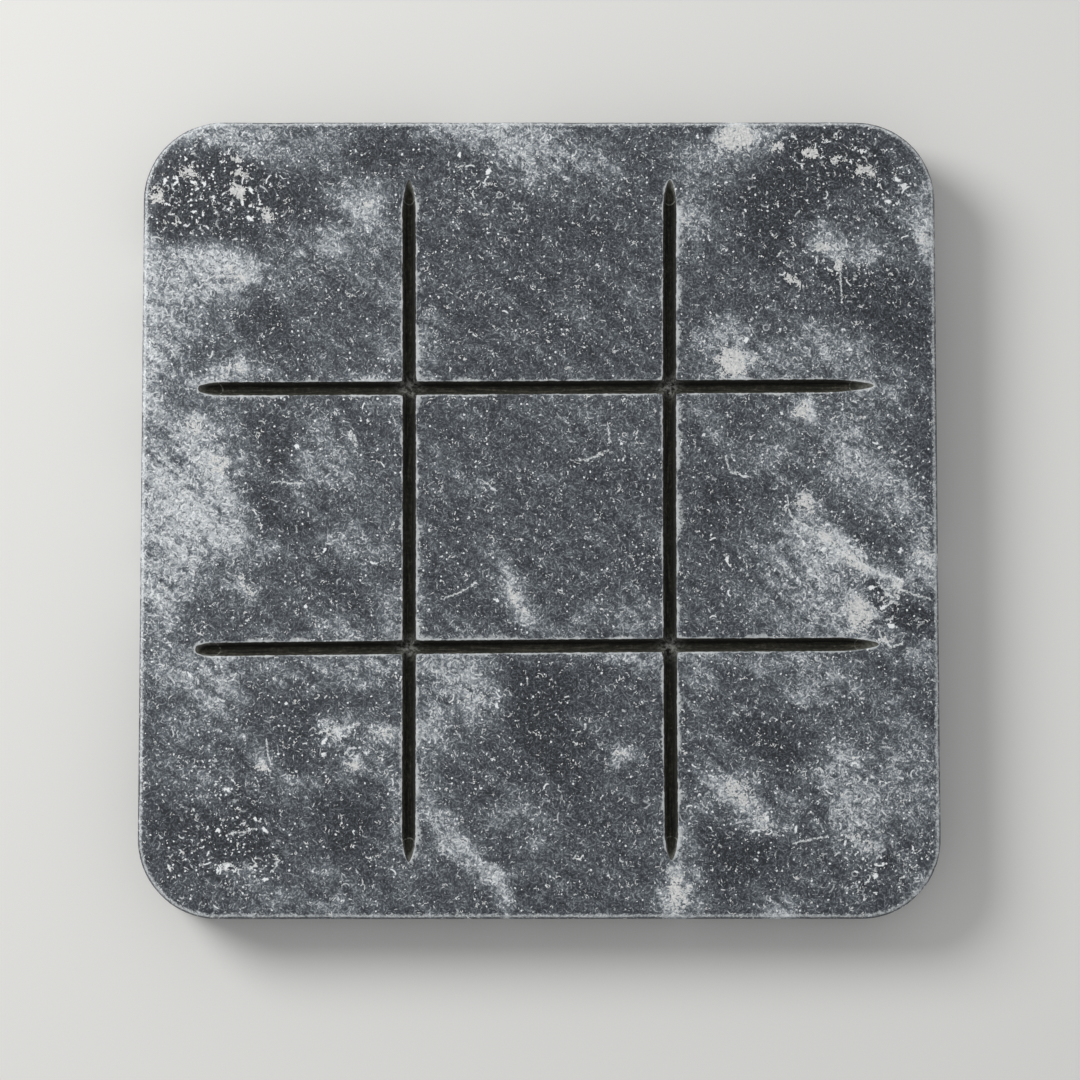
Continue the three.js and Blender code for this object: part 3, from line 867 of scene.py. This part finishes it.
def stoneLevel(tree, place, mottle, fine, crumble):  # how pale the stone is, 0 to 1
    pale, dark = attributeOf(tree, "pale"), attributeOf(tree, "dark")
    slant, drawnOut = (0, 0, marbleLook["slant"]), (marbleLook["drawnOut"], 1, 1)
    slanted = {"Vector": place, "Rotation": slant, "Scale": drawnOut}
    slanted = addNode(tree, "Mapping", slanted, vector_type="TEXTURE").outputs[0]
    drift = noiseAt(tree, slanted, 0.13, 4.0, 0.62)
    wisps = noiseAt(tree, slanted, 0.5, 3.0, 0.6, shift=47.0)
    sway = 0.0
    for field, weight in ((drift, 1.4), (wisps, 0.9), (mottle, 1.1)):
        sway = maths(tree, "ADD", sway, aboutZero(tree, field, weight))
    sway = times(tree, sway, ease(tree, pale, 0.15, 0.7, 0.7, 1.3))
    sway = maths(tree, "ADD", sway, times(tree, crumble, ease(tree, pale, 0.15, 0.55, 0.0, 1.3)))
    clouds = maths(tree, "SUBTRACT", pale, times(tree, dark, marbleLook["darkWeight"]))
    level = maths(tree, "ADD", maths(tree, "ADD", clouds, sway), marbleLook["lift"])
    level = times(tree, level, marbleLook["gain"])
    return maths(tree, "ADD", level, aboutZero(tree, fine, 0.25), clamp=True)


def layFelt(tree, bent, level):  # fibres lighten the stone, and darker ones part them
    tone = toneRamp(tree, level, marbleTone["stone"])
    hairs = most(tree, *[layStrokes(tree, bent, *layer) for layer in hairLayers])
    share = times(tree, hairs, ease(tree, level, 0.25, 0.5, 0.72, 1.0))
    tone = layTone(tree, tone, share, "fibre", level)
    partings = most(tree, *[layStrokes(tree, bent, *layer) for layer in partingLayers])
    share = times(tree, partings, ease(tree, level, 0.3, 0.55, 0.65, 0.85))
    tone = layTone(tree, tone, share, "parting", level)
    clouded = ease(tree, level, 0.35, 0.66, 0.0, 0.95)  # bolder gaps and strands in the pale clouds
    gaps = layStrokes(tree, bent, *marbleStroke["gap"], clouded, 823.0)
    tone = layTone(tree, tone, times(tree, gaps, 0.8), "gap")
    strands = layStrokes(tree, bent, *marbleStroke["strand"], clouded, 611.0)
    tone = layTone(tree, tone, times(tree, strands, 0.8), "strand")
    return tone, hairs, partings


def layFlecks(tree, place, skin, bent):  # dots all over, bold strokes and crusts in places
    flecked = attributeOf(tree, "flecked")
    swarm = ease(tree, noiseAt(tree, place, 0.14, 3.0, 0.65, shift=27.0), 0.52, 0.78)
    swarm = most(tree, swarm, flecked)
    jagged = pulled(tree, skin, bent, 1.3, 3.0, marbleLook["jag"])
    dots = placeGroup(tree, grains, {
        "Place": bent, "Spacing": 1.8, "Size": 0.22, "Stretch": 0.3,
        "Share": ease(tree, swarm, 0.0, 0.8, 0.11, 0.4),
    })
    chips = placeGroup(tree, grains, {
        "Place": jagged, "Spacing": 3.0, "Size": 0.45, "Stretch": 0.8,
        "Share": ease(tree, swarm, 0.2, 1.0, 0.0, 0.26),
    })
    boldShare = ease(tree, swarm, 0.0, 0.8, 0.03, 0.24)
    bold = layStrokes(tree, jagged, *marbleStroke["bold"], boldShare, 113.0)
    curlShare = ease(tree, swarm, 0.1, 1.0, 0.035, 0.26)
    curls = layStrokes(tree, bent, *marbleStroke["curl"], curlShare, 450.0)
    crusts = noiseAt(tree, place, 0.33, 4.0, 0.68, shift=33.0)
    crusts = times(tree, ease(tree, crusts, 0.63, 0.66), ease(tree, flecked, 0.25, 0.9))
    return most(tree, dots, chips, bold, curls, crusts)


def chalkMask(tree, crumble, hairs, partings):  # spots with crumbled edges and dark pits
    lace = times(tree, maths(tree, "SUBTRACT", hairs, partings), 0.5)
    chalk = maths(tree, "ADD", attributeOf(tree, "chalk"), times(tree, crumble, 2.8))
    chalky = ease(tree, maths(tree, "ADD", chalk, lace), 0.46, 0.62)
    return times(tree, chalky, ease(tree, partings, 0.2, 0.9, 0.93, 0.4))


def bruiseAndHighlightMask(tree, mouth, tip, nibble, stretch):  # a broken line at a groove's edge, then fuzz: partly bruised stone, partly painted highlight on the lips
    line = times(tree, ease(tree, mouth, 0.0, 0.25, 1.0, 0.0), ease(tree, nibble, 0.38, 0.6, 0.06, 0.9))
    line = times(tree, line, ease(tree, stretch, 0.35, 0.55, 0.4, 1.0), ease(tree, tip, 0.0, 6.0, 0.3, 1.0))
    reach = times(tree, attributeOf(tree, "bruiseAndHighlight"), ease(tree, nibble, 0.35, 0.7, 0.2, 1.2))
    reach = times(tree, reach, ease(tree, stretch, 0.42, 0.62, 0.12, 1.4))
    fuzz = ease(tree, maths(tree, "DIVIDE", mouth, reach), 0.1, 1.0, 1.0, 0.0)
    fuzz = times(tree, fuzz, ease(tree, stretch, 0.4, 0.55, 0.1, 0.7))
    return most(tree, line, fuzz)


def veinMask(tree, nibble, fine):  # thin lines, broken here and there
    wobble = maths(tree, "ADD", attributeOf(tree, "vein"), aboutZero(tree, nibble, 2.2))
    vein = ease(tree, maths(tree, "ABSOLUTE", wobble), 0.16, 0.4, 1.0, 0.0)
    vein = times(tree, vein, ease(tree, attributeOf(tree, "veinNear"), 0.9, 1.5, 0.9, 0.0))
    return times(tree, vein, ease(tree, fine, 0.38, 0.55, 0.25, 1.0))


def wornAndHighlightMask(tree, depth, nibble, fine):  # chips along the top of the round-over: partly worn stone, partly a painted highlight on the round-over
    worn = maths(tree, "ADD", attributeOf(tree, "outline"), times(tree, nibble, 2.6))
    worn = ease(tree, worn, 2.2, 3.2, 1.0, 0.0)
    return times(tree, worn, ease(tree, depth, 0.4, 0.9, 0.85, 0.0), ease(tree, fine, 0.35, 0.6, 0.35, 1.0))


def grooveTone(tree, height, depth, side, tip, nibble, dust):  # streaked along, with painted shade on one flank and painted light where it runs out
    lane = {"X": times(tree, tip, 0.12), "Y": times(tree, side, 1.6), "Z": height}
    lane = addNode(tree, "CombineXYZ", lane).outputs[0]
    streaks = noiseAt(tree, lane, 1.0, 3.0, 0.6, shift=83.0)
    earth = maths(tree, "ADD", times(tree, streaks, 0.55), times(tree, dust, 0.45))
    earth = toneRamp(tree, earth, marbleTone["grooveFloor"])
    earth = layTone(tree, earth, ease(tree, dust, 0.62, 0.75, 0.0, 0.6), "grooveDust")
    # painted shade: where side is positive (the right flank of an upright groove, the upper flank of a
    # crosswise one) the floor is darkened, as if turned from the light
    earth = layTone(tree, earth, ease(tree, side, 0.1, 1.0, 0.0, 0.75), "grooveFlankPaintedShade")
    # painted light: the floor is paler where the groove is shallow near its tips, as more light reaches it
    # there than the deep floor
    shallowPaintedLight = times(tree, ease(tree, depth, 0.3, 2.4, 0.75, 0.0), ease(tree, tip, 3.0, 11.0, 1.0, 0.1))
    earth = layTone(tree, earth, shallowPaintedLight, "runOutPaintedLight", dust)
    # a pale arc across the floor where the wheel was lifted out: partly dust on the step it left, partly a
    # painted highlight of that step
    arc = maths(tree, "ADD", tip, times(tree, side, side, 0.3))
    arc = maths(tree, "ABSOLUTE", maths(tree, "SUBTRACT", arc, marbleLook["liftArcHighlight"]))
    arc = times(tree, ease(tree, arc, 0.1, 0.3, 1.0, 0.0), ease(tree, nibble, 0.42, 0.58, 0.0, 0.6))
    earth = layTone(tree, earth, arc, "liftArcHighlight")
    settled = times(tree, attributeOf(tree, "crossing"), ease(tree, dust, 0.4, 0.62))
    return layTone(tree, earth, settled, "crossingDust")


def makeMarble():
    material, tree, shader, place = newMaterial("marble")
    skin, mouth = attributeOf(tree, "skin", "Vector"), attributeOf(tree, "mouth")
    side, tip = attributeOf(tree, "side"), attributeOf(tree, "tip")  # across and along a groove
    height = addNode(tree, "SeparateXYZ", {"Vector": place}).outputs["Z"]
    depth = maths(tree, "SUBTRACT", faceHeight / mm, height)
    bent = pulled(tree, skin, skin, 0.8, 1.0, marbleLook["bend"])

    # noise that several layers share
    mottle = noiseAt(tree, place, 0.28, 3.0, 0.6, shift=9.0)
    fine = noiseAt(tree, place, 1.5, 2.0, 0.6, shift=21.0)
    crumble = maths(tree, "SUBTRACT", noiseAt(tree, place, 0.34, 5.0, 0.72, shift=39.0), 0.5)
    nibble = noiseAt(tree, place, 0.9, 3.0, 0.7, shift=61.0)
    stretch = noiseAt(tree, place, 0.12, 2.0, 0.5, shift=67.0)
    dust = noiseAt(tree, place, 0.8, 4.0, 0.7, shift=89.0)

    # from the felt up: flecks, chalk, bruised rims with painted highlight, veins, the worn outer edge with
    # painted highlight, and the grooves last with painted shade and light
    tone, hairs, partings = layFelt(tree, bent, stoneLevel(tree, place, mottle, fine, crumble))
    flecks = layFlecks(tree, place, skin, bent)
    tone = layTone(tree, tone, times(tree, flecks, 0.95), "fleck")
    chalky = chalkMask(tree, crumble, hairs, partings)
    tone = layTone(tree, tone, chalky, "chalk", fine)
    # white rims of the grooves: partly bruised stone, partly painted highlight, wider on the right lip of
    # the upright grooves
    tone = layTone(tree, tone, bruiseAndHighlightMask(tree, mouth, tip, nibble, stretch), "bruiseAndHighlight")
    tone = layTone(tree, tone, veinMask(tree, nibble, fine), "vein")
    tone = layTone(tree, tone, wornAndHighlightMask(tree, depth, nibble, fine), "wornEdgeAndHighlight")
    cut = ease(tree, maths(tree, "ADD", depth, times(tree, dust, 0.1)), 0.06, 0.16)
    cut = times(tree, cut, maths(tree, "LESS_THAN", mouth, 0.6))
    tone = mixColor(tree, cut, tone, grooveTone(tree, height, depth, side, tip, nibble, dust))
    tree.links.new(tone, shader.inputs["Base Color"])

    rough = ease(tree, mottle, 0.3, 0.7, 0.5, 0.66)
    rough = maths(tree, "ADD", rough, times(tree, most(tree, cut, chalky), 0.25))
    tree.links.new(rough, shader.inputs["Roughness"])
    shader.inputs["Specular IOR Level"].default_value = 0.35
    relief = maths(tree, "ADD", times(tree, flecks, 0.5), fine)
    relief = maths(tree, "SUBTRACT", relief, times(tree, partings, 0.5))
    bump = addNode(tree, "Bump", {"Strength": 0.35, "Distance": marbleLook["relief"], "Height": relief})
    tree.links.new(bump.outputs[0], shader.inputs["Normal"])
    return material


paintClouds(slab)
slab.data.materials.clear()
slab.data.materials.append(makeMarble())
print("marble laid on")


# Feet: stick-on rubber, a disc drawn in to a flat round sole

footSize = {
    "sides": 48,
    "taper": math.radians(12),
    "soleRound": 0.8 * mm,
    "lip": 0.35 * mm,
    "soleRim": 1.6 * mm,  # flat ring round the dished middle of the sole
    "dishSlope": 0.5 * mm,
    "dish": 0.25 * mm,
}


def makeFoot(node):
    low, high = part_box(node)
    middle = (low + high) / 2
    radius, height = (high.x - low.x) / 2, high.z - low.z
    soleRadius = radius - height * math.tan(footSize["taper"])
    shrink = soleRadius / radius

    def onSoleEdge(edge):
        atSole = all(abs(v.co.z - low.z) < 1e-6 for v in edge.verts)
        return atSole and all((v.co.xy - middle.xy).length > soleRadius - 1e-5 for v in edge.verts)

    deselectAll()
    sides = footSize["sides"]
    bpy.ops.mesh.primitive_cylinder_add(vertices=sides, radius=radius, depth=height, location=middle)
    foot = bpy.context.object
    bpy.ops.object.transform_apply(location=True, rotation=False, scale=False)
    bpy.ops.object.mode_set(mode="EDIT")
    bpy.ops.mesh.select_mode(type="FACE")
    pick(foot, "faces", lambda face: face.normal.z < -0.9)
    bpy.ops.transform.resize(value=(shrink, shrink, 1), center_override=(middle.x, middle.y, low.z))
    bpy.ops.mesh.inset(thickness=footSize["soleRim"])
    bpy.ops.mesh.inset(thickness=footSize["dishSlope"])
    bpy.ops.transform.translate(value=(0, 0, footSize["dish"]))
    bpy.ops.mesh.select_mode(type="EDGE")
    pick(foot, "edges", onSoleEdge)
    bpy.ops.mesh.bevel(offset=footSize["soleRound"], segments=5, affect="EDGES")
    pick(foot, "edges", lambda e: all(abs(v.co.z - high.z) < 1e-6 for v in e.verts))
    bpy.ops.mesh.bevel(offset=footSize["lip"], segments=3, affect="EDGES")
    bpy.ops.mesh.select_all(action="SELECT")
    bpy.ops.mesh.normals_make_consistent(inside=False)
    bpy.ops.object.mode_set(mode="OBJECT")
    bpy.ops.object.shade_smooth_by_angle(angle=math.radians(35))
    return foot


def copyFoot(foot, fromNode, toNode):
    activate(foot)
    bpy.ops.object.duplicate(linked=False)
    copy = bpy.context.object
    bpy.ops.transform.translate(value=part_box(toNode)[0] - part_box(fromNode)[0])
    bpy.ops.object.transform_apply(location=True, rotation=False, scale=False)
    return copy


def makeRubber():  # matt black, scuffed grey in places
    material, tree, shader, place = newMaterial("foot_rubber")
    grain = noiseAt(tree, place, 2.4, 3.0, 0.6)
    scuffs = noiseAt(tree, place, 0.45, 4.0, 0.68, shift=5.0)
    tone = toneRamp(tree, scuffs, [(0.35, (22, 22, 23)), (0.58, (32, 32, 33)), (0.74, (60, 59, 57))])
    tree.links.new(tone, shader.inputs["Base Color"])
    tree.links.new(ease(tree, grain, 0.3, 0.7, 0.7, 0.9), shader.inputs["Roughness"])
    bump = addNode(tree, "Bump", {"Strength": 0.4, "Distance": 0.06 * mm, "Height": grain})
    tree.links.new(bump.outputs[0], shader.inputs["Normal"])
    return material


footNodes = [
    "rubber_foot_front_left",
    "rubber_foot_front_right",
    "rubber_foot_back_left",
    "rubber_foot_back_right",
]
firstFoot = makeFoot(footNodes[0])
feet = [firstFoot] + [copyFoot(firstFoot, footNodes[0], node) for node in footNodes[1:]]
rubber = makeRubber()
for foot, node in zip(feet, footNodes):
    foot.name = foot.data.name = node.replace("rubber_foot", "foot")
    foot.data.materials.append(rubber)
    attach(foot, "root")
    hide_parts(node)
print("feet modelled:", len(feet))


# Camera, floor and light

shot = {
    "distance": 1.19,  # to the middle of the face
    "lean": math.radians(5.6),
    "roll": math.radians(0.12),
    "lens": 126.7,
    "aim": (0.25 * mm, -7.45 * mm),
}

lamp = {
    "floorColor": (0.77, 0.76, 0.735),
    "keyPlace": (-1.0, 0.62, 0.95),
    "keySize": 0.75,
    "keyPower": 16,
    "worldColor": (0.97, 0.985, 1.0),
    "worldStrength": 0.5,
}


def addCamera():
    away = Vector((0, -math.sin(shot["lean"]), math.cos(shot["lean"])))
    place = Vector((0, 0, faceHeight)) + shot["distance"] * away
    aim = Vector((*shot["aim"], faceHeight))
    deselectAll()
    bpy.ops.object.camera_add(location=place)
    camera = bpy.context.object
    turn = (aim - place).to_track_quat("-Z", "Y") @ Quaternion((0, 0, 1), shot["roll"])
    camera.rotation_euler = turn.to_euler()
    camera.data.sensor_width = 36
    camera.data.lens = shot["lens"]
    scene.camera = camera


def addFloor():
    deselectAll()
    bpy.ops.mesh.primitive_plane_add(size=8, location=(0, 0, 0))
    floor = bpy.context.object
    floor.name = "floor"
    paint = bpy.data.materials.new("floor_paint")
    paint.use_nodes = True
    shader = paint.node_tree.nodes["Principled BSDF"]
    shader.inputs["Base Color"].default_value = (*lamp["floorColor"], 1)
    shader.inputs["Roughness"].default_value = 0.9
    shader.inputs["Specular IOR Level"].default_value = 0.1
    floor.data.materials.append(paint)


def addLight():
    deselectAll()
    bpy.ops.object.light_add(type="AREA", location=lamp["keyPlace"])
    key = bpy.context.object
    key.name = "key"
    key.data.shape = "DISK"
    key.data.size = lamp["keySize"]
    key.data.energy = lamp["keyPower"]
    key.rotation_euler = (-Vector(lamp["keyPlace"])).to_track_quat("-Z", "Y").to_euler()
    world = bpy.data.worlds.new("studio")
    scene.world = world
    world.use_nodes = True
    back = world.node_tree.nodes["Background"]
    back.inputs["Color"].default_value = (*lamp["worldColor"], 1)
    back.inputs["Strength"].default_value = lamp["worldStrength"]


addCamera()
addFloor()
addLight()
